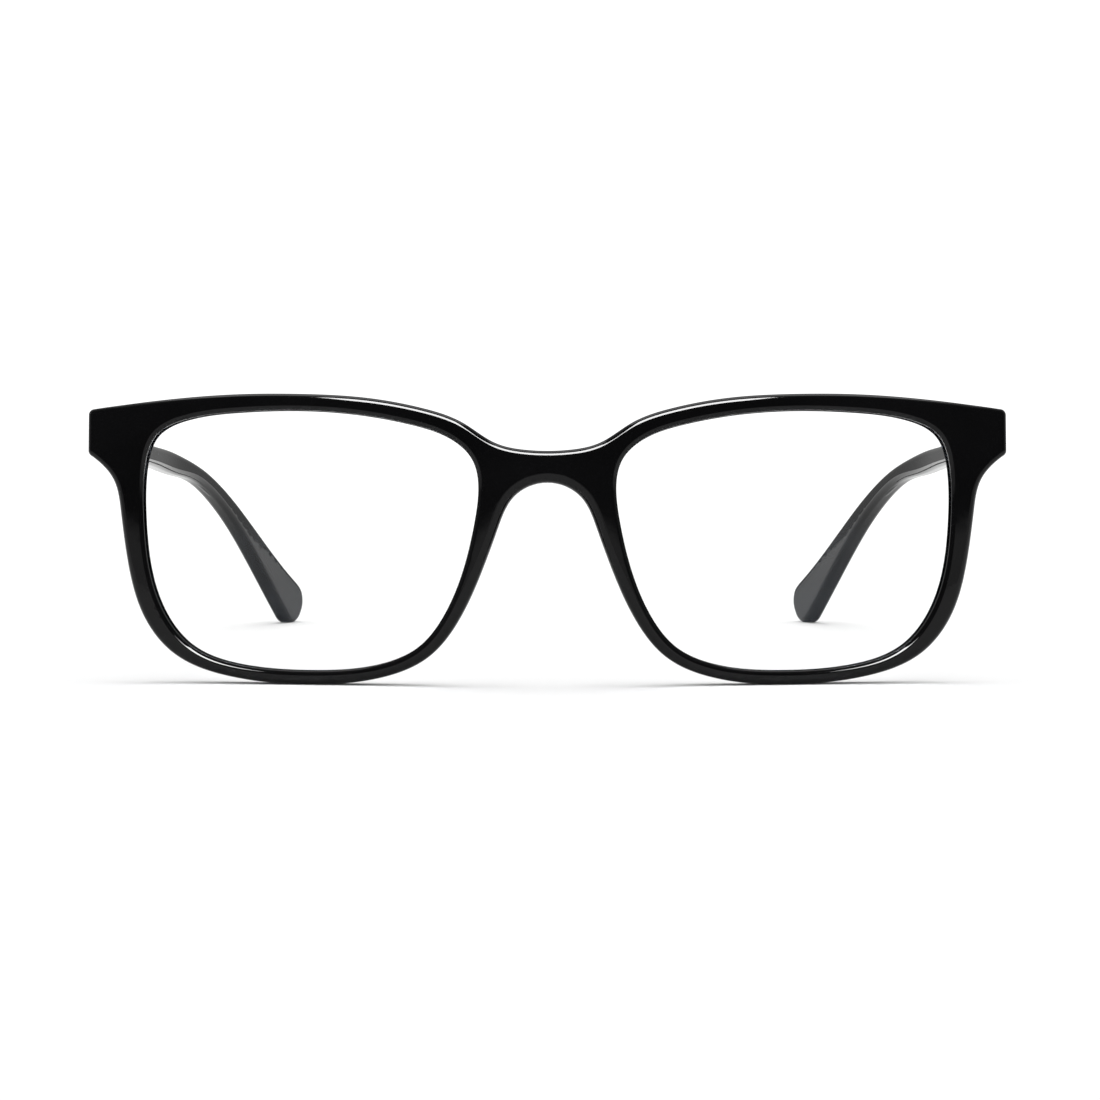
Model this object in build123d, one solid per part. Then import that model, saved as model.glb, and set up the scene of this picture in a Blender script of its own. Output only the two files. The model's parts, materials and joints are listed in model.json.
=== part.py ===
"""Full-rim plastic glasses with folding temples, one solid per piece.

Millimetres. Everything is first made upright: X across the face (wearer's left is +X), Y from the
front of the bridge back towards the ears, Z up, with Z = 0 at mid-height of the lenses. The last
step leans the open glasses back until the rims and the temple tips rest on one floor, Z = 0.
"""
from build123d import *

import os
from math import atan2, degrees

# ---- driving dimensions: front ------------------------------------------------------------------
HALF_WIDTH = 70.2          # centre of the bridge to the outside of an endpiece
FACE_RADIUS = 265.0        # the front face is part of a sphere of this radius
FRONT_THICKNESS = 4.0
FRONT_EDGE_ROUND = 0.75
BACK_EDGE_ROUND = 0.6
CORNER_ROUND = 0.9         # endpiece corners, seen from the front
OPENING_CHAMFER = 0.5      # front edge of the lens openings
BAR_START = -1.0           # outlines are pushed along Y from here, clear of the front face,
BAR_END = 25.0             # to here, clear of the endpiece blocks

# Half outlines as (X, Z), from the middle of the bridge outwards.
BROW = [(3.2, 13.6), (7.8, 14.65), (12.6, 17.65), (18.5, 19.85), (27.6, 21.55), (37.0, 22.15),
        (47.5, 22.17), (57.0, 21.57), (HALF_WIDTH, 20.05)]
UNDERSIDE = [(2.0, 8.37), (5.1, 6.45), (7.3, 2.1), (9.7, -4.4), (13.2, -11.9), (17.7, -17.4),
             (25.4, -20.7), (36.4, -21.67), (48.2, -20.5), (56.9, -17.0), (61.5, -11.3),
             (63.9, -3.3), (65.05, 4.7), (66.2, 9.4), (68.4, 12.0), (HALF_WIDTH, 13.3)]
# Lens opening as (X, Z), anticlockwise seen from the front, starting at the nose.
OPENING = [(10.35, 7.0), (10.85, 3.0), (12.3, -3.4), (15.1, -10.5), (19.4, -16.0), (25.9, -18.78),
           (35.5, -19.6), (46.2, -18.8), (54.2, -15.8), (58.5, -10.4), (60.6, -4.0), (61.4, 3.5),
           (61.25, 11.0), (59.6, 15.9), (54.5, 18.5), (47.0, 19.47), (39.5, 19.7), (28.6, 19.0),
           (20.4, 17.45), (14.2, 15.07), (11.2, 12.0)]

# ---- driving dimensions: lenses -----------------------------------------------------------------
LENS_THICKNESS = 2.0
LENS_DEPTH = 1.0           # front face of the rim to the front face of the lens
LENS_BEVEL = 0.55          # how far the bevelled edge reaches into the rim
LENS_STEP = 0.15           # how far inside the opening the bevel starts
LENS_CLEARANCE = 0.04

# ---- driving dimensions: endpieces and hinges ---------------------------------------------------
BLOCK_INSIDE = 62.4        # inner wall of the endpiece block behind the rim
BLOCK_BOTTOM = 12.6
BLOCK_ROUND = 1.0
BUTT = 15.5                # Y of the flat end that the temple closes against
BUTT_GAP = 0.08
HINGE_X = 65.2
HINGE_Y = 17.1
HINGE_Z = 16.7
BARREL_RADIUS = 1.35
BARREL_HEIGHT = 0.95
BARREL_PITCH = 1.0
BARRELS = 5
BARREL_BORE = 0.70
SCREW_RADIUS = 0.65
SCREW_HEAD_RADIUS = 1.1
SCREW_HEAD_HEIGHT = 0.5
SCREW_TAIL = 0.25
SCREW_SLOT = (0.32, 0.28)  # width, depth
SCREW_HEAD_CHAMFER = 0.15
SCREW_END_CHAMFER = 0.2
LEAF_THICKNESS = 1.0
FRONT_LEAF_DEPTH = 4.2     # sunk in the endpiece
TEMPLE_LEAF_LENGTH = 11.0
TEMPLE_LEAF_LOW, TEMPLE_LEAF_HIGH = 14.6, 18.0
SUNK_CLEARANCE = 0.03
WEB_OVERLAP = 0.5          # how far a barrel's web runs into its plate
PLATE_LOW = HINGE_Z - BARRELS * BARREL_PITCH / 2 + (BARREL_PITCH - BARREL_HEIGHT) / 2
PLATE_HIGH = PLATE_LOW + (BARRELS - 1) * BARREL_PITCH + BARREL_HEIGHT

# ---- driving dimensions: temples ----------------------------------------------------------------
TEMPLE_START = BUTT + BUTT_GAP
TEMPLE_THICKNESS = 3.4     # at the hinge
TIP_THICKNESS = 2.8
TEMPLE_ROUND = 1.05
TIP_CORNER = 3.8
# Side profile as (Y, Z): top edge and bottom edge, from the butt to the tip.
TEMPLE_TOP = [(TEMPLE_START, 20.0), (30, 19.1), (48, 17.2), (66, 16.45), (81, 16.2), (92, 15.3),
              (104, 13.3), (119, 8.1), (136.4, -1.4), (152.1, -10.1)]
TEMPLE_BOTTOM = [(TEMPLE_START, 13.3), (40, 13.1), (71, 12.75), (88, 12.0), (99, 11.2),
                 (110.5, 8.0), (121.6, 2.45), (132.2, -5.3), (141.0, -12.8), (146.9, -17.9)]
# Plan of the outer face as (X, Y): straight, then turning in behind the ear.
TEMPLE_PLAN = [(HALF_WIDTH, TEMPLE_START), (HALF_WIDTH, 42), (70.14, 66), (69.3, 85), (66.9, 101),
               (62.5, 120), (57.6, 136), (50.9, 154)]
WIRE_RADIUS = 0.6
WIRE_BEND = 70.0
WIRE_CLEARANCE = 0.04
# The core wire's corners as (X, Y, Z), and where its bore ends.
WIRE_ROUTE = [(68.6, TEMPLE_START + 0.5, 16.7), (68.6, 48, 15.2), (68.3, 76, 14.5),
              (65.9, 98, 12.6), (61.6, 117, 6.8), (57.6, 131, -1.3)]
WIRE_END = (57.51, 131.31, -1.48)

# ---- driving dimensions: nose pads and stance ---------------------------------------------------
PAD_CENTRE = (10.95, 4.0, -3.4)
PAD_LENGTH = 12.4
PAD_WIDTH = 2.2
PAD_DEPTH = 5.2
PAD_ROUND = 0.9
PAD_SLANT = 19.0           # leans with the rim, seen from the front
PAD_SPLAY = 4.0            # opens towards the face, seen from above
REST_RIM = (6.8, -21.573)  # (Y, Z) of the floor line under the rims
REST_TIP = (146.34, -15.931)  # (Y, Z) of the floor line under the temple tips
STANCE = degrees(atan2(REST_TIP[1] - REST_RIM[1], REST_TIP[0] - REST_RIM[0]))
STAND = Rot(X=-STANCE) * Pos(0, -REST_RIM[0], -REST_RIM[1])
# Points printed in the finished frame, where the joints and the resting places are.
REFERENCE_POINTS = {
    "origin": (0, 0, 0),
    "hinge": (HINGE_X, HINGE_Y, HINGE_Z),
    "rim floor": (36.0, *REST_RIM),
    "tip floor": (52.4, *REST_TIP),
    "pads": (0, PAD_CENTRE[1] + PAD_DEPTH / 2, PAD_CENTRE[2]),
    "ear": (66.5, 99.0, 11.2),
}

SPHERE_CENTRE = Pos(0, FACE_RADIUS, 0)
NEAR = 0.01                # edges this close to a place are taken to lie on it
ACROSS = 0.8               # an edge whose direction has more X than this runs across a temple


def both_sides(half):
    """Points of a half outline, given from the middle outwards, as one run from -X to +X."""
    return [(-x, z) for x, z in reversed(half)] + list(half)


def facing_ball(depth):
    """The ball whose surface lies `depth` behind the front face."""
    return SPHERE_CENTRE * Sphere(FACE_RADIUS - depth)


def prism_y(face):
    """A face drawn in the XZ plane, pushed along Y into a long bar."""
    return Pos(0, BAR_START, 0) * extrude(face, amount=BAR_END - BAR_START, dir=(0, 1, 0))


def front_face():
    brow = Spline(*[(x, 0, z) for x, z in both_sides(BROW)])
    underside = Spline(*[(x, 0, z) for x, z in both_sides(UNDERSIDE)])
    ends = [Line(brow @ end, underside @ end) for end in (0, 1)]
    return make_face([brow.edge(), ends[0].edge(), underside.edge(), ends[1].edge()])


def opening_face(grow=0.0):
    """The lens opening on the +X side, made `grow` larger all round."""
    curve = Spline(*[(x, 0, z) for x, z in OPENING], periodic=True)
    if grow:
        steps = 2 * len(OPENING)
        spread = []
        for step in range(steps):
            outward = (curve % (step / steps)).cross(Vector(0, -1, 0))
            spread.append((curve @ (step / steps)) + outward.normalized() * grow)
        curve = Spline(*spread, periodic=True)
    return make_face(curve.edge())


def lens_solid():
    """A meniscus lens of even thickness with a bevel all round."""
    outline = prism_y(opening_face(LENS_BEVEL))
    shell = facing_ball(LENS_DEPTH) - facing_ball(LENS_DEPTH + LENS_THICKNESS)
    lens = (shell & outline).solid()
    rims = [e for e in lens.edges() if e.length > 2 * LENS_THICKNESS]
    return lens.chamfer(LENS_BEVEL + LENS_STEP, None, rims)


def edges_at_depth(solid, depth, around_lens):
    """Edges on the ball surface `depth` behind the front face: the lens openings' or the outline's."""
    found = []
    for edge in solid.edges():
        reach = (edge @ 0.5 - Vector(0, FACE_RADIUS, 0)).length
        middle = abs(edge.bounding_box().center().X)
        is_opening = OPENING[0][0] < middle < BLOCK_INSIDE
        if abs(FACE_RADIUS - reach - depth) < NEAR and is_opening == around_lens:
            found.append(edge)
    return found


def front_blank():
    """The outline of the front as a long bar along Y, with rounded endpiece corners."""
    bar = prism_y(front_face())
    corners = [e for e in bar.edges().filter_by(Axis.Y)
               if abs(abs(e.center().X) - HALF_WIDTH) < NEAR]
    return bar.fillet(CORNER_ROUND, corners)


def lens_groove():
    """Room for one lens: a plain groove, open towards the middle of the rim."""
    room = prism_y(opening_face(LENS_BEVEL + LENS_CLEARANCE))
    front = LENS_DEPTH - LENS_CLEARANCE
    back = LENS_DEPTH + LENS_THICKNESS + LENS_CLEARANCE
    return ((facing_ball(front) - facing_ball(back)) & room).solid()


def front_plate(blank):
    """The rims and the bridge: the blank between two balls, cut for the lenses, then rounded."""
    plate = (blank & facing_ball(0) - facing_ball(FRONT_THICKNESS)).solid()
    for cutter in (prism_y(opening_face()), lens_groove()):
        plate = plate - cutter
        plate = plate - mirror(cutter, about=Plane.YZ)
    plate = plate.fillet(FRONT_EDGE_ROUND, edges_at_depth(plate, 0, around_lens=False))
    plate = plate.fillet(BACK_EDGE_ROUND, edges_at_depth(plate, FRONT_THICKNESS, around_lens=False))
    return plate.chamfer(OPENING_CHAMFER, None, edges_at_depth(plate, 0, around_lens=True))


def box_between(low, high):
    size = [b - a for a, b in zip(low, high)]
    middle = [(a + b) / 2 for a, b in zip(low, high)]
    return Pos(*middle) * Box(*size)


def hinge_level(index):
    """Bottom of barrel `index`, counted from the lowest."""
    return PLATE_LOW + index * BARREL_PITCH


def hinge_half(indices, plate_low, plate_high, web_low, web_high):
    """Barrels on the hinge axis, each with a web, with corners (X, Y), to one sunk plate."""
    half = box_between(plate_low, plate_high)
    for index in indices:
        level = hinge_level(index)
        barrel = Cylinder(BARREL_RADIUS, BARREL_HEIGHT)
        half += Pos(HINGE_X, HINGE_Y, level + BARREL_HEIGHT / 2) * barrel
        half += box_between((*web_low, level), (*web_high, level + BARREL_HEIGHT))
    bore = Pos(HINGE_X, HINGE_Y, HINGE_Z) * Cylinder(BARREL_BORE, 2 * BARRELS * BARREL_PITCH)
    return (half - bore).solid()


def front_hinge():
    inner, outer = HINGE_X - LEAF_THICKNESS / 2, HINGE_X + LEAF_THICKNESS / 2
    return hinge_half(range(0, BARRELS, 2),
                      (inner, BUTT - FRONT_LEAF_DEPTH, PLATE_LOW), (outer, BUTT, PLATE_HIGH),
                      (inner, BUTT - WEB_OVERLAP), (outer, HINGE_Y))


def temple_hinge():
    inner = HALF_WIDTH - TEMPLE_THICKNESS - LEAF_THICKNESS / 2
    outer = inner + LEAF_THICKNESS
    start = HINGE_Y + BARREL_RADIUS
    web_side = inner + LEAF_THICKNESS / 2 - SUNK_CLEARANCE
    return hinge_half(range(1, BARRELS, 2),
                      (inner, start, TEMPLE_LEAF_LOW),
                      (outer, start + TEMPLE_LEAF_LENGTH, TEMPLE_LEAF_HIGH),
                      (HINGE_X, start - LEAF_THICKNESS), (web_side, start + WEB_OVERLAP))


def hinge_screw():
    low, high = PLATE_LOW - SCREW_TAIL, PLATE_HIGH
    shank = Pos(HINGE_X, HINGE_Y, (low + high) / 2) * Cylinder(SCREW_RADIUS, high - low)
    shank = shank.chamfer(SCREW_END_CHAMFER, None, shank.edges().group_by(Axis.Z)[0])
    head = Cylinder(SCREW_HEAD_RADIUS, SCREW_HEAD_HEIGHT)
    head = Pos(HINGE_X, HINGE_Y, high + SCREW_HEAD_HEIGHT / 2) * head
    head = head.chamfer(SCREW_HEAD_CHAMFER, None, head.edges().group_by(Axis.Z)[-1])
    slot = Box(2 * BARREL_RADIUS, SCREW_SLOT[0], 2 * SCREW_SLOT[1])
    return (shank + head - Pos(HINGE_X, HINGE_Y, high + SCREW_HEAD_HEIGHT) * slot).solid()


def front_frame():
    """Rims, bridge and the two endpiece blocks, each with a pocket for its hinge plate."""
    blank = front_blank()
    block = blank & box_between((BLOCK_INSIDE, 0, BLOCK_BOTTOM), (2 * HALF_WIDTH, BUTT, HALF_WIDTH))
    block = (block & facing_ball(FRONT_THICKNESS / 2)).solid()
    inside = [e for e in block.edges().filter_by(Axis.Z) if abs(e.center().Y - BUTT) < NEAR]
    block = block.fillet(BLOCK_ROUND, inside)
    frame = front_plate(blank) + block + mirror(block, about=Plane.YZ)
    half_leaf = LEAF_THICKNESS / 2 + SUNK_CLEARANCE
    floor = BUTT - FRONT_LEAF_DEPTH - SUNK_CLEARANCE
    pocket = box_between((HINGE_X - half_leaf, floor, PLATE_LOW - SUNK_CLEARANCE),
                         (HINGE_X + half_leaf, BAR_END, PLATE_HIGH + SUNK_CLEARANCE))
    return (frame - pocket - mirror(pocket, about=Plane.YZ)).solid()


def temple_plan():
    """The temple seen from above: its outer face and an inner face that comes nearer to it."""
    outer = Spline(*TEMPLE_PLAN)
    steps = len(TEMPLE_PLAN) - 1
    inner_points = []
    for step in range(steps + 1):
        share = step / steps
        inward = (outer % share).cross(Vector(0, 0, -1))
        thickness = TEMPLE_THICKNESS + (TIP_THICKNESS - TEMPLE_THICKNESS) * share
        inner_points.append(outer @ share + inward * thickness)
    inner = Spline(*inner_points)
    ends = [Line(outer @ end, inner @ end) for end in (0, 1)]
    return make_face([outer.edge(), ends[0].edge(), inner.edge(), ends[1].edge()])


def temple_profile():
    """The temple seen from the side."""
    top = Spline(*[(0, y, z) for y, z in TEMPLE_TOP])
    bottom = Spline(*[(0, y, z) for y, z in TEMPLE_BOTTOM])
    ends = [Line(top @ end, bottom @ end) for end in (0, 1)]
    return make_face([top.edge(), ends[0].edge(), bottom.edge(), ends[1].edge()])


def temple_blank():
    """Side profile and plan, each pushed through the other, with the long edges rounded."""
    side = Pos(HALF_WIDTH / 2, 0, 0) * extrude(temple_profile(), amount=HALF_WIDTH, dir=(1, 0, 0))
    tip = [e for e in side.edges().filter_by(Axis.X) if e.center().Y > REST_TIP[0] - 1]
    side = side.fillet(TIP_CORNER, tip)
    plan = Pos(0, 0, -HALF_WIDTH) * extrude(temple_plan(), amount=2 * HALF_WIDTH, dir=(0, 0, 1))
    blank = (side & plan).solid()
    long_edges = [e for e in blank.edges()
                  if e.center().Y > TEMPLE_START + NEAR and abs((e % 0.5).X) < ACROSS]
    return blank.fillet(TEMPLE_ROUND, long_edges)


def wire_run(points, radius):
    """A round wire along straight runs joined by gentle bends."""
    path = FilletPolyline(*points, radius=WIRE_BEND)
    section = Plane(origin=path @ 0, z_dir=path % 0) * Circle(radius)
    return sweep(section, path=path).solid()


def core_wire():
    return wire_run(WIRE_ROUTE, WIRE_RADIUS)


def temple():
    """The side arm, with the pocket for its hinge plate and the bore of its core wire."""
    inner = HALF_WIDTH - TEMPLE_THICKNESS - LEAF_THICKNESS / 2
    start = HINGE_Y + BARREL_RADIUS
    gap = SUNK_CLEARANCE
    outer, end = inner + LEAF_THICKNESS, start + TEMPLE_LEAF_LENGTH
    pocket = box_between((inner - gap, start - gap, TEMPLE_LEAF_LOW - gap),
                         (outer + gap, end + gap, TEMPLE_LEAF_HIGH + gap))
    mouth = (WIRE_ROUTE[0][0], BUTT, WIRE_ROUTE[0][2])
    bore = wire_run([mouth, *WIRE_ROUTE[1:-1], WIRE_END], WIRE_RADIUS + WIRE_CLEARANCE)
    return (temple_blank() - pocket - bore).solid()


def nose_pad():
    """A long rounded pad behind the nose side of the rim, seated on the rim's back."""
    pad = extrude(SlotOverall(PAD_LENGTH, PAD_WIDTH), amount=PAD_DEPTH, dir=(0, 0, 1))
    pad = pad.fillet(PAD_ROUND, pad.edges().group_by(Axis.Z)[-1])
    # The slot's long side along Z and its depth along +Y, then slanted and splayed.
    upright = Rot(0, 0, -PAD_SPLAY) * Rot(0, -PAD_SLANT, 0) * Rot(-90, 0, 0) * Rot(0, 0, 90)
    pad = Pos(*PAD_CENTRE) * Pos(0, -FRONT_THICKNESS / 4, 0) * upright * pad
    return (pad & facing_ball(FRONT_THICKNESS)).solid()


def trim_to_floor(shape):
    """Small flats where the open glasses touch the floor."""
    reach = 3 * HALF_WIDTH
    return (shape - box_between((-reach, -reach, -reach), (reach, reach, 0))).solid()


def main():
    os.makedirs("parts", exist_ok=True)
    frame = front_frame()
    left = {
        "lens": lens_solid(),
        "nose_pad": nose_pad(),
        "front_hinge": front_hinge(),
        "hinge_screw": hinge_screw(),
        "temple_hinge": temple_hinge(),
        "temple": trim_to_floor(STAND * temple()),
        "core_wire": core_wire(),
    }
    for name, upright in left.items():
        left[name] = upright if name == "temple" else STAND * upright
    frame = trim_to_floor(STAND * frame)
    depth_middle = (frame.bounding_box().min.Y + left["temple"].bounding_box().max.Y) / 2
    centred = Pos(0, -depth_middle, 0)
    pieces = {"front_frame": centred * frame}
    for name, solid in left.items():
        pieces[name + "_left"] = centred * solid
        pieces[name + "_right"] = centred * mirror(solid, about=Plane.YZ)
    for name, solid in pieces.items():
        export_step(solid, os.path.join("parts", name + ".step"))
    for label, point in REFERENCE_POINTS.items():
        print(label, (centred * STAND * Location(point)).position)
    print("lean", STANCE)


if __name__ == "__main__":
    main()
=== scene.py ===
"""Black full-rim glasses in a white studio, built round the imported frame.

Outlines are drawn in millimetres with the glasses upright: X across the face, Y from the front
back towards the ears, Z up from mid-height of the lenses. to_row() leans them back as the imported
frame is, and turns them into metres.
"""

import json
import math

import bmesh
import bpy
import numpy as np
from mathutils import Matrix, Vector, geometry


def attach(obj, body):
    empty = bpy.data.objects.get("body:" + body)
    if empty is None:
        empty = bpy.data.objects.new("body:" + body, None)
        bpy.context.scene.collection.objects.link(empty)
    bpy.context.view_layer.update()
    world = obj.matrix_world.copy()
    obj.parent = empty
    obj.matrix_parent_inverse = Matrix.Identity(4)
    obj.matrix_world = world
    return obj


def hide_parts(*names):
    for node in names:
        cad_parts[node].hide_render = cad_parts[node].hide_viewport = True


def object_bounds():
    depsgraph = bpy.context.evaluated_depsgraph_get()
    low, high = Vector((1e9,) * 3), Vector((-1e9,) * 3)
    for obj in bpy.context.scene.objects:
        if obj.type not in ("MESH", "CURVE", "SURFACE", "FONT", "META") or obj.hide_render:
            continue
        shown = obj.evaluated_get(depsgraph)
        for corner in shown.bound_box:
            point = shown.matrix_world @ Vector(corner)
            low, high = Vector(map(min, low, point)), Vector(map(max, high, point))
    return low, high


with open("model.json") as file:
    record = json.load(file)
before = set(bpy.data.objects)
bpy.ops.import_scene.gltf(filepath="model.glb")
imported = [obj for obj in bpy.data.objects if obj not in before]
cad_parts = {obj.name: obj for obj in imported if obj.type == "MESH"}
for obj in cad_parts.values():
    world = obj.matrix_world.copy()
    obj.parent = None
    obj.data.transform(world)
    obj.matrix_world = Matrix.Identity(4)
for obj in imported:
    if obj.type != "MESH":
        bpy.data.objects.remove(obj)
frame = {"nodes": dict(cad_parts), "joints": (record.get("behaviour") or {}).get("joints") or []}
CAD_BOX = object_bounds()

# ---- sizes shared with the frame, in millimetres ------------------------------------------------
MM = 0.001
HALF_WIDTH = 70.2          # centre of the bridge to the outside of an endpiece
FACE_RADIUS = 265.0        # the front is part of a sphere
FRONT_THICKNESS = 4.0
CORNER_ROUND = 0.9         # endpiece corners, seen from the front
BROW = [(3.2, 13.6), (7.8, 14.65), (12.6, 17.65), (18.5, 19.85), (27.6, 21.55), (37.0, 22.15),
        (47.5, 22.17), (57.0, 21.57), (HALF_WIDTH, 20.05)]
UNDERSIDE = [(2.0, 8.37), (5.1, 6.45), (7.3, 2.1), (9.7, -4.4), (13.2, -11.9), (17.7, -17.4),
             (25.4, -20.7), (36.4, -21.67), (48.2, -20.5), (56.9, -17.0), (61.5, -11.3),
             (63.9, -3.3), (65.05, 4.7), (66.2, 9.4), (68.4, 12.0), (HALF_WIDTH, 13.3)]
OPENING = [(10.35, 7.0), (10.85, 3.0), (12.3, -3.4), (15.1, -10.5), (19.4, -16.0), (25.9, -18.78),
           (35.5, -19.6), (46.2, -18.8), (54.2, -15.8), (58.5, -10.4), (60.6, -4.0), (61.4, 3.5),
           (61.25, 11.0), (59.6, 15.9), (54.5, 18.5), (47.0, 19.47), (39.5, 19.7), (28.6, 19.0),
           (20.4, 17.45), (14.2, 15.07), (11.2, 12.0)]
BLOCK_INSIDE = 62.4        # inner wall of the endpiece block
BLOCK_BOTTOM = 12.6
BLOCK_ROUND = 1.0          # vertical edge between the inner wall and the butt
BUTT = 15.5                # Y of the flat end that the temple closes against
HINGE = (65.2, 17.1, 16.7)
# Pockets of the sunk hinge plates: opposite corners, and how deep they go.
FRONT_POCKET = ((64.67, 14.195), (65.73, 19.205))       # (X, Z) in the butt
FRONT_POCKET_FLOOR = 11.27
TEMPLE_POCKET = ((18.42, 14.57), (29.48, 18.03))        # (Y, Z) in the temple's inner face
TEMPLE_POCKET_FLOOR = 67.33
TEMPLE_START = 15.58
TEMPLE_THICKNESS, TIP_THICKNESS = 3.4, 2.8
TEMPLE_TOP = [(TEMPLE_START, 20.0), (30, 19.1), (48, 17.2), (66, 16.45), (81, 16.2), (92, 15.3),
              (104, 13.3), (119, 8.1), (136.4, -1.4), (152.1, -10.1)]
TEMPLE_BOTTOM = [(TEMPLE_START, 13.3), (40, 13.1), (71, 12.75), (88, 12.0), (99, 11.2),
                 (110.5, 8.0), (121.6, 2.45), (132.2, -5.3), (141.0, -12.8), (146.9, -17.9)]
TEMPLE_PLAN = [(HALF_WIDTH, TEMPLE_START), (HALF_WIDTH, 42), (70.14, 66), (69.3, 85), (66.9, 101),
               (62.5, 120), (57.6, 136), (50.9, 154)]
TEMPLE_ROUND = 1.05
TIP_CORNER = 3.8
BORE_RADIUS = 0.64
BORE_BEND = 70.0
BORE_ROUTE = [(68.6, TEMPLE_START, 16.7), (68.6, 48, 15.2), (68.3, 76, 14.5), (65.9, 98, 12.6),
              (61.6, 117, 6.8), (57.51, 131.31, -1.48)]
LENS_DEPTH, LENS_THICKNESS = 1.0, 2.0
LENS_BEVEL, LENS_STEP = 0.55, 0.15
GROOVE = (0.59, 0.96, 3.04)              # reach into the rim, front wall, back wall

# ---- finish of the moulded edges ----------------------------------------------------------------
FRONT_ROUND, ENDPIECE_ROUND, NOSE_ROUND = 0.95, 0.7, 1.45
BACK_ROUND, BACK_RUN_OUT = 0.6, 2.5
LIP_FRONT, LIP_BACK = 0.6, 0.32          # bevel and rounding on the edges of a lens opening
# The bevel on an opening's front edge, as (outwards from the opening, behind the front face).
LIP_BEVEL = [(LIP_FRONT + 0.08, 0), (LIP_FRONT - 0.03, 0.02), (LIP_FRONT - 0.14, 0.1),
             (0.09, LIP_FRONT - 0.19), (0.015, LIP_FRONT - 0.08), (0, LIP_FRONT + 0.04)]
NOSE_SIDE, NOSE_FADE, NOSE_TOP = 17.0, 6.0, 11.0         # X and Z limits of the soft nose edge
ENDPIECE_START, ENDPIECE_FADE = 64.0, 4.0                # X where the endpieces' crisp edge begins
BLOCK_CORNER = 0.8                       # between a block's inner wall and its bottom
EDGE_BREAK = 0.13                        # round the butt ends
STEP = 0.7                               # spacing of points along outlines
GRID = 1.7                               # spacing of points on broad faces
WELD = 1e-4
SHARP = math.radians(32)


# ---- curves -------------------------------------------------------------------------------------
def unit(vectors):
    vectors = np.asarray(vectors, float)
    return vectors / np.linalg.norm(vectors, axis=-1, keepdims=True)


def cubic(points, closed=False):
    """The cubic spline through `points` by chord length: a function of distance, and its length."""
    knots = np.array(points, float)
    if closed:
        knots = np.vstack([knots, knots[:1]])
    at = np.concatenate([[0], np.cumsum(np.linalg.norm(np.diff(knots, axis=0), axis=1))])
    gap = np.diff(at)
    rise = np.diff(knots, axis=0) / gap[:, None]
    count = len(knots)
    left, right = np.zeros((count, count)), np.zeros(knots.shape)
    for i in range(1, count - 1):
        left[i, i - 1:i + 2] = gap[i], 2 * (gap[i - 1] + gap[i]), gap[i - 1]
        right[i] = 3 * (gap[i] * rise[i - 1] + gap[i - 1] * rise[i])
    if closed:
        left[0, 0], left[0, 1], left[0, -2] = 2 * (gap[-1] + gap[0]), gap[-1], gap[0]
        right[0] = 3 * (gap[0] * rise[-1] + gap[-1] * rise[0])
        left[-1, 0], left[-1, -1] = 1, -1
    else:
        left[0, 0] = left[-1, -1] = 1
        right[0] = np.polyfit(at[:4] - at[0], knots[:4], 3)[2]
        right[-1] = np.polyfit(at[-4:] - at[-1], knots[-4:], 3)[2]
    slope = np.linalg.solve(left, right)

    def along(distance):
        distance = np.asarray(distance, float)
        i = np.clip(np.searchsorted(at, distance, side="right") - 1, 0, count - 2)
        t = ((distance - at[i]) / gap[i])[:, None]
        h = gap[i][:, None]
        return ((1 + 2 * t) * (1 - t) ** 2 * knots[i] + t * (1 - t) ** 2 * h * slope[i]
                + t * t * (3 - 2 * t) * knots[i + 1] + t * t * (t - 1) * h * slope[i + 1])

    return along, at[-1]


def sampled(points, spacing=STEP, closed=False):
    along, length = cubic(points, closed)
    stops = np.linspace(0, length, 2 * round(length / spacing / 2) + 1)
    return along(stops[:-1] if closed else stops)


def both_sides(half):
    return [(-x, z) for x, z in reversed(half)] + list(half)


def joined(runs, radius, closed):
    """Runs of points, each starting where the last one ends, as one line with rounded joints."""
    joints = len(runs) if closed else len(runs) - 1
    arcs, cut = [], []
    for k in range(joints):
        before, after = runs[k], runs[(k + 1) % len(runs)]
        into, out = unit(before[-1] - before[-2]), unit(after[1] - after[0])
        turn = math.atan2(into[0] * out[1] - into[1] * out[0], into @ out)
        reach = radius * math.tan(abs(turn) / 2)
        side = math.copysign(1, turn)
        centre = before[-1] - into * reach + side * radius * np.array([-into[1], into[0]])
        steps = max(4, math.ceil(abs(turn) / math.radians(9)))
        sweep = np.linspace(0, turn, steps + 1)
        arm = -side * radius * np.array([-into[1], into[0]])
        arcs.append(np.array([centre + (arm[0] * math.cos(a) - arm[1] * math.sin(a),
                                        arm[0] * math.sin(a) + arm[1] * math.cos(a))
                              for a in sweep]))
        cut.append(reach)
    line = []
    for k, run in enumerate(runs):
        keep = np.ones(len(run), bool)
        if k < joints:
            keep &= np.linalg.norm(run - run[-1], axis=1) > cut[k] + STEP / 4
        if closed or k > 0:
            keep &= np.linalg.norm(run - run[0], axis=1) > cut[k - 1] + STEP / 4
        line.append(run[keep])
        if k < joints:
            line.append(arcs[k])
    return np.vstack(line)


def with_crossing(run, axis, value):
    """The run with a point exactly where its coordinate `axis` passes `value`."""
    over = run[:, axis] - value
    for i in np.flatnonzero(over[:-1] * over[1:] < 0):
        share = over[i] / (over[i] - over[i + 1])
        nearest = i if share < 0.5 else i + 1
        run[nearest] = run[i] + (run[i + 1] - run[i]) * share
    return run


def rectangle(low, high, spacing=0.8):
    """The outline of a rectangle between two corners, with points along its sides."""
    (a, b), (c, d) = low, high
    corners = np.array([(a, b), (c, b), (c, d), (a, d)], float)
    sides = []
    for start, end in zip(corners, np.roll(corners, -1, 0)):
        count = max(1, round(np.linalg.norm(end - start) / spacing))
        sides.append(np.linspace(start, end, count + 1)[:-1])
    return np.vstack(sides)


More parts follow.
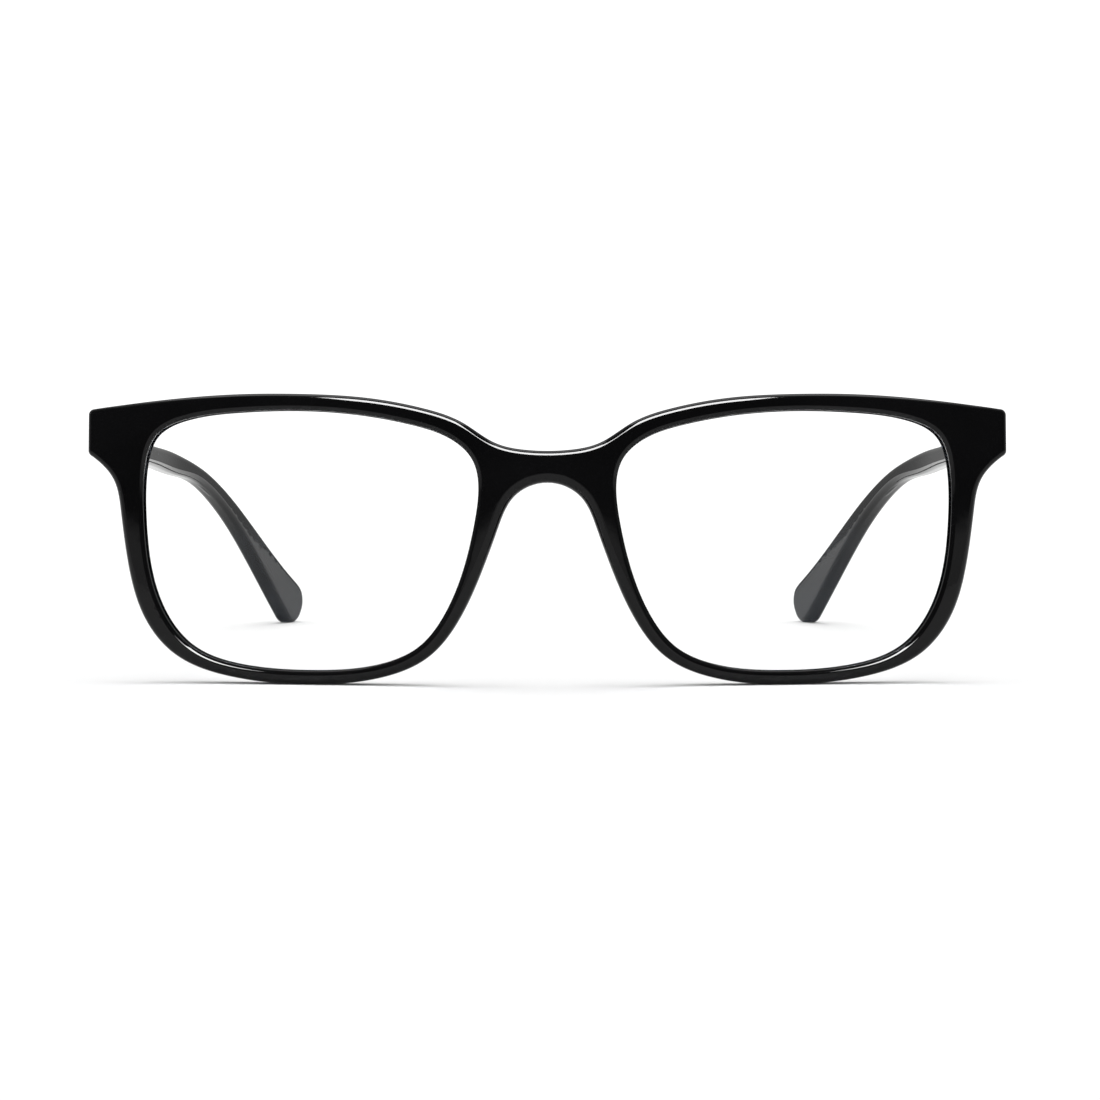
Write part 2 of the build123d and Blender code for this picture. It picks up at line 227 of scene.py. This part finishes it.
def outward(line, closed=True):
    """Unit normals to the right of the line's direction: outward where it runs anticlockwise."""
    ahead = unit(np.roll(line, -1, 0) - line) if closed else unit(np.diff(line, axis=0))
    if closed:
        tangent = unit(ahead + np.roll(ahead, 1, 0))
    else:
        tangent = unit(np.vstack([ahead[:1], ahead[:-1] + ahead[1:], ahead[-1:]]))
    return np.column_stack([tangent[:, 1], -tangent[:, 0]])


def ease(share):
    """0 to 1 with a level start and end."""
    share = np.clip(share, 0, 1)
    return share * share * (3 - 2 * share)


def quarter(steps):
    """Shares of a rounding's radius (still to come on the face, gone down the wall)."""
    return [(1 - math.sin(a), 1 - math.cos(a)) for a in np.linspace(0, math.pi / 2, steps + 1)]


# ---- surfaces -----------------------------------------------------------------------------------
class Shell:
    """Patches of one closed surface, gathered as loose points and faces and welded at the end."""

    def __init__(self):
        self.points, self.faces = [], []

    def add(self, points, faces):
        start = sum(len(p) for p in self.points)
        self.points.append(np.asarray(points, float))
        self.faces += [[start + i for i in face] for face in faces]

    def strip(self, rings, closed=True):
        width, faces = len(rings[0]), []
        for k in range(len(rings) - 1):
            for i in range(width if closed else width - 1):
                j = (i + 1) % width
                faces.append((k * width + i, k * width + j, (k + 1) * width + j, (k + 1) * width + i))
        self.add(np.vstack(rings), faces)

    def fill(self, lift, outer, holes=(), spacing=GRID, extra=None):
        """Triangles inside `outer` and outside `holes`, all in two coordinates that `lift` raises."""
        loops = [np.asarray(loop) for loop in (outer, *holes)]
        low, high = loops[0].min(0), loops[0].max(0)
        grid = np.array([(u + (row % 2) * spacing / 2, v)
                         for row, v in enumerate(np.arange(low[1], high[1], spacing * 0.87))
                         for u in np.arange(low[0], high[0], spacing)])
        if extra is not None:
            grid = np.vstack([grid[~near(grid, extra, spacing * 0.6)], extra])
        grid = grid[inside(grid, loops)]
        for loop in loops:
            grid = grid[~near_edges(grid, loop, spacing * 0.35)]
        edges, start = [], 0
        for loop in loops:
            edges += [(start + i, start + (i + 1) % len(loop)) for i in range(len(loop))]
            start += len(loop)
        flat = np.vstack([*loops, grid])
        found = geometry.delaunay_2d_cdt([Vector(p) for p in flat], edges, [], 0, 1e-6)
        places = np.array([tuple(p) for p in found[0]])
        faces = np.array([f for f in found[2] if len(f) == 3])
        self.add(lift(places[:, 0], places[:, 1]), faces[inside(places[faces].mean(1), loops)])

    def mesh(self, name, mirror=False):
        points = to_row(np.vstack(self.points))
        points = np.clip(points, *(np.array(corner) for corner in CAD_BOX))
        if mirror:
            points[:, 0] *= -1
        mesh = bpy.data.meshes.new(name)
        mesh.from_pydata(points.tolist(), [], [list(map(int, f)) for f in self.faces])
        shape = bmesh.new()
        shape.from_mesh(mesh)
        bmesh.ops.remove_doubles(shape, verts=shape.verts, dist=WELD * MM)
        bmesh.ops.dissolve_degenerate(shape, edges=shape.edges, dist=WELD * MM / 10)
        bmesh.ops.recalc_face_normals(shape, faces=shape.faces)
        for face in shape.faces:
            face.smooth = True
        for edge in shape.edges:
            edge.smooth = len(edge.link_faces) == 2 and edge.calc_face_angle() < SHARP
        open_edges = sum(len(e.link_faces) != 2 for e in shape.edges)
        if open_edges:
            print("open edges in", name, open_edges)
        shape.to_mesh(mesh)
        shape.free()
        return mesh


def inside(points, loops):
    """True for the points inside the first loop and outside the others, by counting crossings."""
    odd = np.zeros(len(points), bool)
    u, v = points[:, 0][:, None], points[:, 1][:, None]
    for loop in loops:
        a, b = loop, np.roll(loop, -1, 0)
        spans = (a[:, 1] > v) != (b[:, 1] > v)
        with np.errstate(divide="ignore", invalid="ignore"):
            cross = a[:, 0] + (v - a[:, 1]) * (b[:, 0] - a[:, 0]) / (b[:, 1] - a[:, 1])
        odd ^= (np.where(spans, u < cross, False).sum(1) % 2).astype(bool)
    return odd


def near(points, others, distance):
    gaps = np.linalg.norm(points[:, None, :] - others[None, :, :], axis=2)
    return gaps.min(1) < distance


def near_edges(points, loop, distance):
    """True for the points nearer than `distance` to any edge of the closed loop."""
    along = np.roll(loop, -1, 0) - loop
    from_start = points[:, None, :] - loop[None, :, :]
    share = np.clip((from_start * along).sum(2) / (along * along).sum(1), 0, 1)
    gaps = np.linalg.norm(from_start - share[:, :, None] * along, axis=2)
    return gaps.min(1) < distance


def inset(loop, distance):
    """The closed loop moved inwards by `distance`, with its sharp corners kept as mitres."""
    ahead = unit(np.roll(loop, -1, 0) - loop)
    behind = np.roll(ahead, 1, 0)
    half_turn = np.sqrt(np.clip((1 + (ahead * behind).sum(1)) / 2, 0.2, 1))
    return loop - outward(loop) * (distance / half_turn)[:, None]


FOLD = next(j for j in frame["joints"] if j["name"] == "fold_left")
LEAN = math.atan2(FOLD["axis"][1], FOLD["axis"][2])


def leaned(points):
    """Points of the upright glasses turned back by their lean about X."""
    x, y, z = np.asarray(points, float).T
    return np.column_stack([x, y * math.cos(LEAN) + z * math.sin(LEAN),
                            z * math.cos(LEAN) - y * math.sin(LEAN)])


ORIGIN = np.array(FOLD["pos_m"]) - leaned([HINGE])[0] * MM


def to_row(points):
    """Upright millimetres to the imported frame's metres."""
    return leaned(points) * MM + ORIGIN


def on_ball(u, v, depth):
    """The point of the front at (X, Z), `depth` behind its front face."""
    u, v = np.asarray(u, float), np.asarray(v, float)
    return np.column_stack([u, FACE_RADIUS - np.sqrt((FACE_RADIUS - depth) ** 2 - u * u - v * v), v])


# ---- the front ----------------------------------------------------------------------------------
def front_outline():
    """Anticlockwise seen from the front, with a point where each block's inner walls begin."""
    underside = sampled(both_sides(UNDERSIDE))
    brow = sampled(both_sides(BROW))[::-1]
    for side in (-1, 1):
        brow = with_crossing(brow, 0, side * BLOCK_INSIDE)
    underside = with_crossing(underside, 1, BLOCK_BOTTOM)
    ends = [np.linspace(a, b, 11) for a, b in ((underside[-1], brow[0]), (brow[-1], underside[0]))]
    return joined([underside, ends[0], brow, ends[1]], CORNER_ROUND, closed=True)


def front_rounding(line):
    """Radius of the front edge at each point: softer round the nose, crisper at the endpieces."""
    x, z = np.abs(line[:, 0]), line[:, 1]
    nose = (NOSE_SIDE - x) / NOSE_FADE * (z < NOSE_TOP)
    end = (x - ENDPIECE_START) / ENDPIECE_FADE
    return (FRONT_ROUND + (NOSE_ROUND - FRONT_ROUND) * ease(nose)
            + (ENDPIECE_ROUND - FRONT_ROUND) * ease(end))


def back_rounding(line, in_block):
    """Radius of the back edge at each point: none at the blocks, and full a little way from them."""
    gaps = np.linalg.norm(line[:, None, :] - line[in_block][None, :, :], axis=2).min(1)
    return BACK_ROUND * ease(gaps / BACK_RUN_OUT)


def block_top(x):
    """Y of the block's end over its width: flat, rounded off to the inner wall."""
    into = np.clip(BLOCK_INSIDE + BLOCK_ROUND - np.abs(x), 0, BLOCK_ROUND)
    return BUTT - BLOCK_ROUND + np.sqrt(BLOCK_ROUND ** 2 - into ** 2)


def inner_path(start, end):
    """Down the block's inner wall and out along its bottom, between two points of the outline."""
    side = math.copysign(1, start[0])
    corner_x, corner_z, radius = side * BLOCK_INSIDE, BLOCK_BOTTOM, BLOCK_CORNER
    down = np.linspace(start, (start[0], corner_z + radius), 9)[1:-1]
    turn = [(corner_x + side * radius * (1 - math.cos(a)), corner_z + radius * (1 - math.sin(a)))
            for a in np.linspace(0, math.pi / 2, 7)]
    out = np.linspace((corner_x + side * radius, corner_z), (end[0], corner_z), 9)[1:-1]
    return np.vstack([down, turn, out])


def opening_walls(shell, line):
    """A lens opening from front to back: bevel, lip, lens groove, lip, rounded back edge."""
    normals = outward(line)
    reach, groove_front, groove_back = GROOVE
    profile = LIP_BEVEL + [(0, groove_front), (reach, groove_front), (reach, groove_back),
                           (0, groove_back)]
    profile += [(LIP_BACK * in_face, FRONT_THICKNESS - LIP_BACK * down)
                for in_face, down in [(1 - a, b) for a, b in quarter(4)][::-1]]
    rings = [line + normals * grow for grow, _ in profile]
    shell.strip([on_ball(*ring.T, depth) for ring, (_, depth) in zip(rings, profile)])
    return rings[0], rings[-1]


def front_shell():
    shell = Shell()
    line = front_outline()
    normals = outward(line)
    radius = front_rounding(line)[:, None]
    rings = [line - normals * radius * in_face for in_face, _ in quarter(8)]
    depths = [radius[:, 0] * down for _, down in quarter(8)]
    x, z = line.T
    in_block = (np.abs(x) >= BLOCK_INSIDE - WELD) & (z >= BLOCK_BOTTOM - WELD)
    back_radius = back_rounding(line, in_block)
    wall_end = FRONT_THICKNESS - back_radius
    for share in (0.35, 0.7, 1.0):
        rings.append(line)
        depths.append(radius[:, 0] + (wall_end - radius[:, 0]) * share)
    shell.strip([on_ball(*ring.T, depth) for ring, depth in zip(rings, depths)])

    opening = sampled(OPENING, closed=True)
    openings = [opening, (opening * (-1, 1))[::-1]]
    mouths = [opening_walls(shell, hole) for hole in openings]
    shell.fill(lambda u, v: on_ball(u, v, 0.0), rings[0], [front for front, _ in mouths])

    # The outline splits into the runs along the blocks and the rounded runs between them.
    starts = np.flatnonzero(in_block & ~np.roll(in_block, 1))
    line_back = []
    for k, start in enumerate(starts):
        length = int(np.argmin(np.roll(in_block, -start)))
        run = (start + np.arange(length)) % len(line)
        line_back.append(block(shell, line[run]))
        next_start = starts[(k + 1) % len(starts)]
        last = run[-1]
        gap = (next_start - last) % len(line)
        open_run = (last + np.arange(gap + 1)) % len(line)
        back = []
        for in_face, down in quarter(6)[::-1]:
            ring = line[open_run] - (normals * back_radius[:, None])[open_run] * in_face
            back.append(on_ball(*ring.T, FRONT_THICKNESS - back_radius[open_run] * down))
        shell.strip(back, closed=False)
        line_back.append(ring)
    shell.fill(lambda u, v: on_ball(u, v, FRONT_THICKNESS), np.vstack(line_back),
               [back for _, back in mouths])
    return shell


def block(shell, run):
    """The endpiece block behind one run of the outline. Gives the inner end of its foot."""
    high, low = (run[0], run[-1]) if run[0][1] > run[-1][1] else (run[-1], run[0])
    inner = inner_path(high, low)
    if run[0][1] > run[-1][1]:
        inner = inner[::-1]
    plan = np.vstack([run, inner])
    foot = on_ball(*plan.T, FRONT_THICKNESS)
    brink = block_top(plan[:, 0]) - EDGE_BREAK
    rows = []
    for share in (0.0, 0.25, 0.5, 0.75, 1.0):
        rows.append(np.column_stack([plan[:, 0], foot[:, 1] + (brink - foot[:, 1]) * share, plan[:, 1]]))
    for in_face, down in quarter(3)[::-1][1:]:
        flat = inset(plan, EDGE_BREAK * in_face)
        rows.append(np.column_stack([flat[:, 0], block_top(flat[:, 0]) - EDGE_BREAK * down, flat[:, 1]]))
    shell.strip(rows)
    side = math.copysign(1, run[0][0])
    pocket = rectangle(*FRONT_POCKET) * (side, 1)
    bend = np.array([(side * (BLOCK_INSIDE + BLOCK_ROUND * (1 - math.cos(a))), z)
                     for a in np.radians([35, 50, 65, 78, 90]) for z in np.arange(13.2, 21.0, 0.7)])
    shell.fill(lambda u, v: np.column_stack([u, block_top(u), v]), flat, [pocket], 0.9, bend)
    for y in (BUTT, FRONT_POCKET_FLOOR):
        rim = np.column_stack([pocket[:, 0], np.full(len(pocket), y), pocket[:, 1]])
        rows.append(rim)
    shell.strip(rows[-2:])
    shell.add(rim, [range(len(rim))])
    return inner[::-1]


# ---- lenses -------------------------------------------------------------------------------------
def lens_shell():
    shell = Shell()
    opening = sampled(OPENING, closed=True)
    normals = outward(opening)
    back = LENS_DEPTH + LENS_THICKNESS
    fall = LENS_BEVEL + LENS_STEP
    profile = [(-LENS_STEP, LENS_DEPTH), (LENS_BEVEL, LENS_DEPTH + fall),
               (LENS_BEVEL, back - fall), (-LENS_STEP, back)]
    rings = [opening + normals * grow for grow, _ in profile]
    shell.strip([on_ball(*ring.T, depth) for ring, (_, depth) in zip(rings, profile)])
    for ring, (_, depth) in ((rings[0], profile[0]), (rings[-1], profile[-1])):
        shell.fill(lambda u, v, d=depth: on_ball(u, v, d), ring)
    return shell


# ---- temples ------------------------------------------------------------------------------------
def plan_curves():
    """X of the temple's outer and inner faces as functions of Y."""
    outer = sampled(TEMPLE_PLAN, 0.5)
    share = np.linspace(0, 1, len(outer))[:, None]
    across = outward(outer, closed=False)
    across *= np.sign(across[:, :1])
    inner = outer - across * (TEMPLE_THICKNESS + (TIP_THICKNESS - TEMPLE_THICKNESS) * share)
    return [lambda y, c=curve: np.interp(y, c[:, 1], c[:, 0]) for curve in (outer, inner)]


def rounded_route(points, radius):
    """A 3-D route with its corners replaced by arcs."""
    points = np.array(points, float)
    line = [points[0]]
    for before, corner, after in zip(points, points[1:], points[2:]):
        into, out = unit(corner - before), unit(after - corner)
        turn = math.acos(np.clip(into @ out, -1, 1))
        reach = radius * math.tan(turn / 2)
        centre = corner - into * reach + unit(out - into * (out @ into)) * radius
        arm, swing = corner - into * reach - centre, into * radius
        line += [centre + arm * math.cos(a) + swing * math.sin(a) for a in np.linspace(0, turn, 7)]
    return np.vstack([*line, points[-1]])


def bore(shell, mouth):
    """The tunnel of the core wire, from the circle `mouth` in the butt to its closed end."""
    route = rounded_route(BORE_ROUTE, BORE_BEND)
    along = unit(np.gradient(route, axis=0))
    turns = np.linspace(0, 2 * math.pi, len(mouth), endpoint=False)
    rings = [mouth]
    for place, forward in zip(route[1:], along[1:]):
        side = unit(np.array([1.0, 0, 0]) - forward * forward[0])
        up = np.cross(side, forward)
        rings.append(np.array([place + BORE_RADIUS * (side * math.cos(a) + up * math.sin(a))
                               for a in turns]))
    shell.strip(rings)
    shell.add(rings[-1], [range(len(mouth))])


def temple_shell():
    shell = Shell()
    x_outer, x_inner = plan_curves()
    bottom, top = sampled(TEMPLE_BOTTOM), sampled(TEMPLE_TOP)[::-1]
    tip = np.linspace(bottom[-1], top[0], 15)
    line = joined([bottom, tip, top], TIP_CORNER, closed=False)
    line[[0, -1], 0] += EDGE_BREAK
    normals = outward(line, closed=False)
    normals[0], normals[-1] = (0, -1), (0, 1)

    rings, flats = [], []
    for in_face, down in quarter(7):
        flat = line - normals * TEMPLE_ROUND * in_face
        flats.append(flat)
        rings.append(np.column_stack([x_outer(flat[:, 0]) - TEMPLE_ROUND * down, flat]))
    for in_face, down in quarter(7)[::-1]:
        flat = line - normals * TEMPLE_ROUND * in_face
        flats.append(flat)
        rings.append(np.column_stack([x_inner(flat[:, 0]) + TEMPLE_ROUND * down, flat]))
    shell.strip(rings, closed=False)

    closing = np.linspace(flats[0][-1], flats[0][0], 7)[1:-1]
    face = np.vstack([flats[0], closing])
    pocket = rectangle(*TEMPLE_POCKET)
    shell.fill(lambda y, z: np.column_stack([x_outer(y), y, z]), face)
    shell.fill(lambda y, z: np.column_stack([x_inner(y), y, z]), face, [pocket])
    floor = np.column_stack([np.full(len(pocket), TEMPLE_POCKET_FLOOR), pocket])
    shell.strip([np.column_stack([x_inner(pocket[:, 0]), pocket]), floor])
    shell.add(floor, [range(len(floor))])

    # The butt: the cross-section, its edge broken, and a mouth for the core wire's bore.
    low_side = np.array([(ring[0][0], ring[0][2]) for ring in rings])
    high_side = np.array([(ring[-1][0], ring[-1][2]) for ring in rings])
    start = TEMPLE_START + EDGE_BREAK
    rise = np.column_stack([np.full(len(closing), x_inner(start)), closing[::-1, 1]])
    fall = np.column_stack([np.full(len(closing), x_outer(start)), closing[:, 1]])
    section = np.vstack([low_side, rise, high_side[::-1], fall])[::-1]
    rows = []
    for in_face, down in quarter(3)[::-1]:
        flat = inset(section, EDGE_BREAK * in_face)
        rows.append(np.column_stack([flat[:, 0], np.full(len(flat), TEMPLE_START + EDGE_BREAK * down),
                                     flat[:, 1]]))
    shell.strip(rows)
    turns = np.linspace(0, 2 * math.pi, 24, endpoint=False)
    centre = np.array(BORE_ROUTE[0])
    mouth = centre + BORE_RADIUS * np.column_stack([np.cos(turns), np.zeros(24), np.sin(turns)])
    shell.fill(lambda x, z: np.column_stack([x, np.full(len(x), TEMPLE_START), z]),
               rows[-1][:, [0, 2]], [mouth[:, [0, 2]]], 0.7)
    bore(shell, mouth)
    return shell


# ---- materials ----------------------------------------------------------------------------------
class Nodes:
    """A few short calls for building the node tree of a material or a world."""

    def __init__(self, owner):
        owner.use_nodes = True
        self.owner = owner
        self.tree = owner.node_tree
        self.tree.nodes.clear()
        self.coords = self.add("ShaderNodeTexCoord").outputs

    def add(self, kind, inputs=None, **settings):
        node = self.tree.nodes.new(kind)
        for key, value in settings.items():
            setattr(node, key, value)
        for key, value in (inputs or {}).items():
            if isinstance(value, bpy.types.NodeSocket):
                self.tree.links.new(value, node.inputs[key])
            else:
                node.inputs[key].default_value = value
        return node

    def math(self, operation, a, b=0.0, c=0.0):
        return self.add("ShaderNodeMath", {0: a, 1: b, 2: c}, operation=operation).outputs[0]

    def scaled(self, source, low, high, to_low, to_high):
        return self.add("ShaderNodeMapRange", {"Value": source, "From Min": low, "From Max": high,
                                               "To Min": to_low, "To Max": to_high}).outputs[0]

    def noise(self, scale, detail=3.0, stretch=(1, 1, 1), roughness=0.55):
        where = self.add("ShaderNodeMapping", {"Vector": self.coords["Object"], "Scale": stretch})
        return self.add("ShaderNodeTexNoise", {"Vector": where.outputs[0], "Scale": scale,
                                               "Detail": detail, "Roughness": roughness}).outputs[0]

    def bump(self, height, distance, strength=1.0, normal=None):
        inputs = {"Height": height, "Distance": distance, "Strength": strength}
        if normal is not None:
            inputs["Normal"] = normal
        return self.add("ShaderNodeBump", inputs).outputs[0]

    def finish(self, shader):
        output = self.add("ShaderNodeOutputMaterial")
        self.tree.links.new(shader, output.inputs["Surface"])
        return self.owner


def gloss_black(name, dark, light, roughness, specular):
    """Polished black plastic: faint colour drift, hazed patches, hairline marks, moulding ripple."""
    n = Nodes(bpy.data.materials.new(name))
    drift = n.noise(60, 2)
    colour = n.add("ShaderNodeMix", {"Factor": n.scaled(drift, 0.35, 0.65, 0, 1), "A": dark, "B": light},
                   data_type="RGBA").outputs[2]
    haze = n.scaled(n.noise(240, 4), 0.45, 0.75, 0, 0.035)
    hairs = n.scaled(n.noise(900, 2, (1, 0.04, 1), 0.7), 0.68, 0.8, 0, 1)
    rough = n.math("ADD", n.math("ADD", haze, n.math("MULTIPLY", hairs, 0.05)), roughness)
    ripple = n.bump(n.noise(420, 2), 0.000006)
    scratched = n.bump(n.math("MULTIPLY", hairs, -1.0), 0.0000006, 1.0, ripple)
    shader = n.add("ShaderNodeBsdfPrincipled", {
        "Base Color": colour, "Roughness": rough, "IOR": 1.48, "Specular IOR Level": specular,
        "Normal": scratched})
    return n.finish(shader.outputs[0])


def metal(name, colour, roughness, brushed, grain):
    """Bare metal with fine lines along one direction and slightly uneven brightness."""
    n = Nodes(bpy.data.materials.new(name))
    lines = n.noise(2600, 3, grain, 0.6)
    patches = n.noise(500, 2)
    tone = n.add("ShaderNodeMix", {"Factor": n.scaled(patches, 0.35, 0.65, 0, 1),
                                   "A": [0.86 * c for c in colour[:3]] + [1], "B": colour},
                 data_type="RGBA").outputs[2]
    rough = n.scaled(lines, 0.3, 0.7, roughness - brushed / 2, roughness + brushed / 2)
    shader = n.add("ShaderNodeBsdfPrincipled", {
        "Base Color": tone, "Metallic": 1.0, "Roughness": rough,
        "Normal": n.bump(lines, 0.000004 * brushed / 0.1)})
    return n.finish(shader.outputs[0])


def clear_lens(name):
    """Coated lens: straight through head on, mirroring with a faint blue cast towards grazing."""
    n = Nodes(bpy.data.materials.new(name))
    facing = n.add("ShaderNodeLayerWeight", {"Blend": 0.5}).outputs["Facing"]
    grazing = n.math("POWER", facing, 5.0)
    smear = n.scaled(n.noise(35, 3), 0.4, 0.8, 0, 0.006)
    share = n.math("ADD", n.math("MULTIPLY_ADD", grazing, 0.6, 0.008), smear)
    tint = n.add("ShaderNodeMix", {"Factor": n.scaled(grazing, 0.0, 0.3, 0, 1),
                                   "A": (0.72, 0.82, 1.0, 1), "B": (0.95, 0.97, 1.0, 1)},
                 data_type="RGBA").outputs[2]
    mirror = n.add("ShaderNodeBsdfAnisotropic", {"Color": tint, "Roughness": 0.02})
    through = n.add("ShaderNodeBsdfTransparent", {"Color": (0.996, 0.997, 0.994, 1)})
    mixed = n.add("ShaderNodeMixShader", {0: share, 1: through.outputs[0], 2: mirror.outputs[0]})
    return n.finish(mixed.outputs[0])


def floor_white(name):
    n = Nodes(bpy.data.materials.new(name))
    tone = n.add("ShaderNodeMix", {"Factor": n.noise(3, 2), "A": (0.93, 0.93, 0.93, 1),
                                   "B": (0.95, 0.95, 0.95, 1)}, data_type="RGBA").outputs[2]
    return n.finish(n.add("ShaderNodeBsdfDiffuse", {"Color": tone}).outputs[0])


# ---- pieces -------------------------------------------------------------------------------------
def piece(mesh, material, body, node):
    thing = bpy.data.objects.new(mesh.name, mesh)
    bpy.context.scene.collection.objects.link(thing)
    mesh.materials.append(material)
    normals = thing.modifiers.new("even shading", "WEIGHTED_NORMAL")
    normals.mode, normals.weight, normals.keep_sharp = "FACE_AREA", 80, True
    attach(thing, body)
    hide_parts(node)
    return thing


black = gloss_black("polished_black", (0.0018, 0.0018, 0.002, 1), (0.003, 0.003, 0.0033, 1),
                    0.035, 0.2)
pad_black = gloss_black("pad_black", (0.006, 0.006, 0.0065, 1), (0.009, 0.009, 0.0095, 1),
                        0.16, 0.35)
glass = clear_lens("coated_lens")
nickel = metal("brushed_nickel", (0.66, 0.64, 0.6, 1), 0.27, 0.16, (1, 1, 0.05))
steel = metal("polished_steel", (0.74, 0.74, 0.74, 1), 0.14, 0.06, (1, 0.1, 1))
drawn = metal("drawn_wire", (0.6, 0.6, 0.58, 1), 0.3, 0.12, (1, 0.03, 1))

piece(front_shell().mesh("moulded_front"), black, "front", "front_frame")
lens = lens_shell()
temple = temple_shell()
for side in ("left", "right"):
    mirror = side == "right"
    piece(lens.mesh("coated_lens_" + side, mirror), glass, "front", "lens_" + side)
    piece(temple.mesh("moulded_temple_" + side, mirror), black, "temple_" + side,
          "temple_" + side)
for node, material in (("nose_pad", pad_black), ("front_hinge", nickel), ("temple_hinge", nickel),
                       ("hinge_screw", steel), ("core_wire", drawn)):
    for side in ("left", "right"):
        for holder in frame["nodes"][node + "_" + side].material_slots:
            holder.material = material


# ---- studio -------------------------------------------------------------------------------------
def floor_disc(radius):
    mesh = bpy.data.meshes.new("floor")
    shape = bmesh.new()
    bmesh.ops.create_circle(shape, cap_ends=True, segments=96, radius=radius)
    shape.to_mesh(mesh)
    shape.free()
    mesh.materials.append(floor_white("floor_white"))
    disc = bpy.data.objects.new("floor", mesh)
    bpy.context.scene.collection.objects.link(disc)


def softbox(name, place, size, radiance, glossy_only=False):
    """A rectangular light at `place` facing the glasses, as bright to the eye as `radiance`."""
    light = bpy.data.lights.new(name, "AREA")
    light.shape = "RECTANGLE"
    light.size, light.size_y = size
    light.energy = radiance * math.pi * size[0] * size[1]
    holder = bpy.data.objects.new(name, light)
    bpy.context.scene.collection.objects.link(holder)
    holder.location = place
    holder.rotation_mode = "QUATERNION"
    holder.rotation_quaternion = (TARGET - Vector(place)).to_track_quat("-Z", "Y")
    holder.visible_camera = False
    holder.visible_diffuse = not glossy_only


def at_angle(azimuth, elevation, distance):
    """A place seen from the glasses at an azimuth from -Y towards +X and an elevation, in degrees."""
    a, e = math.radians(azimuth), math.radians(elevation)
    level = distance * math.cos(e)
    return TARGET + Vector((level * math.sin(a), -level * math.cos(a), distance * math.sin(e)))


def studio_world():
    """White to the eye, even light on the floor; glossy surfaces see a room that is dark in front."""
    world = bpy.data.worlds.new("studio")
    bpy.context.scene.world = world
    n = Nodes(world)
    parts = n.add("ShaderNodeSeparateXYZ", {0: n.coords["Generated"]})
    backward, up = parts.outputs[1], parts.outputs[2]
    beside = n.scaled(backward, *SIDE_FADE, 0, 1)
    behind = n.scaled(backward, *BACK_FADE, 0, 1)
    low = n.scaled(up, *(math.sin(math.radians(angle)) for angle in GREY_BELOW), 0, 1)
    room = n.scaled(low, 0, 1, ROOM_DARK, ROOM_GREY)
    sides = n.add("ShaderNodeMix", {"Factor": beside, "A": room, "B": ROOM_SIDE}).outputs[0]
    seen = n.add("ShaderNodeMix", {"Factor": behind, "A": sides, "B": ROOM_BACK}).outputs[0]
    rays = n.add("ShaderNodeLightPath").outputs
    lit = n.add("ShaderNodeMix", {"Factor": rays["Is Diffuse Ray"], "A": BACKDROP, "B": DOME}).outputs[0]
    strength = n.add("ShaderNodeMix", {"Factor": rays["Is Glossy Ray"], "A": lit, "B": seen}).outputs[0]
    sky = n.add("ShaderNodeBackground", {"Color": (1, 1, 1, 1), "Strength": strength})
    output = n.add("ShaderNodeOutputWorld")
    n.tree.links.new(sky.outputs[0], output.inputs["Surface"])


BACKDROP = 1.2             # what the eye sees behind the glasses
DOME = 0.88                # even white light from the room
ROOM_DARK, ROOM_GREY, ROOM_SIDE, ROOM_BACK = 0.08, 0.75, 0.58, 0.3
SIDE_FADE, BACK_FADE = (-0.25, 0.35), (0.64, 0.94)       # Y of a direction, from none to full
GREY_BELOW = (4.4, 2.2)                  # degrees of elevation, from dark to grey
CAMERA_PLACE = (0.4, -420.0, -1.4)       # upright millimetres, level with the lenses
CAMERA_LENS, CAMERA_SENSOR = 92.1, 36.0
TARGET = Vector(to_row([(0, 0, 0)])[0])

floor_disc(0.6)
studio_world()
softbox("overhead", (0.0, 0.3, 1.25), (1.1, 0.8), 2.3)
softbox("front_strip", at_angle(0, 56, 0.9), (0.5, 0.5), 60.0, glossy_only=True)

camera = bpy.data.objects.new("camera", bpy.data.cameras.new("camera"))
bpy.context.scene.collection.objects.link(camera)
camera.data.lens, camera.data.sensor_width = CAMERA_LENS, CAMERA_SENSOR
eye, ahead = (Vector(p) for p in to_row([CAMERA_PLACE, (CAMERA_PLACE[0], 0, CAMERA_PLACE[2])]))
camera.location = eye
camera.rotation_mode = "QUATERNION"
camera.rotation_quaternion = (ahead - eye).to_track_quat("-Z", "Y")
bpy.context.scene.camera = camera
bpy.context.scene.view_settings.view_transform = "Standard"
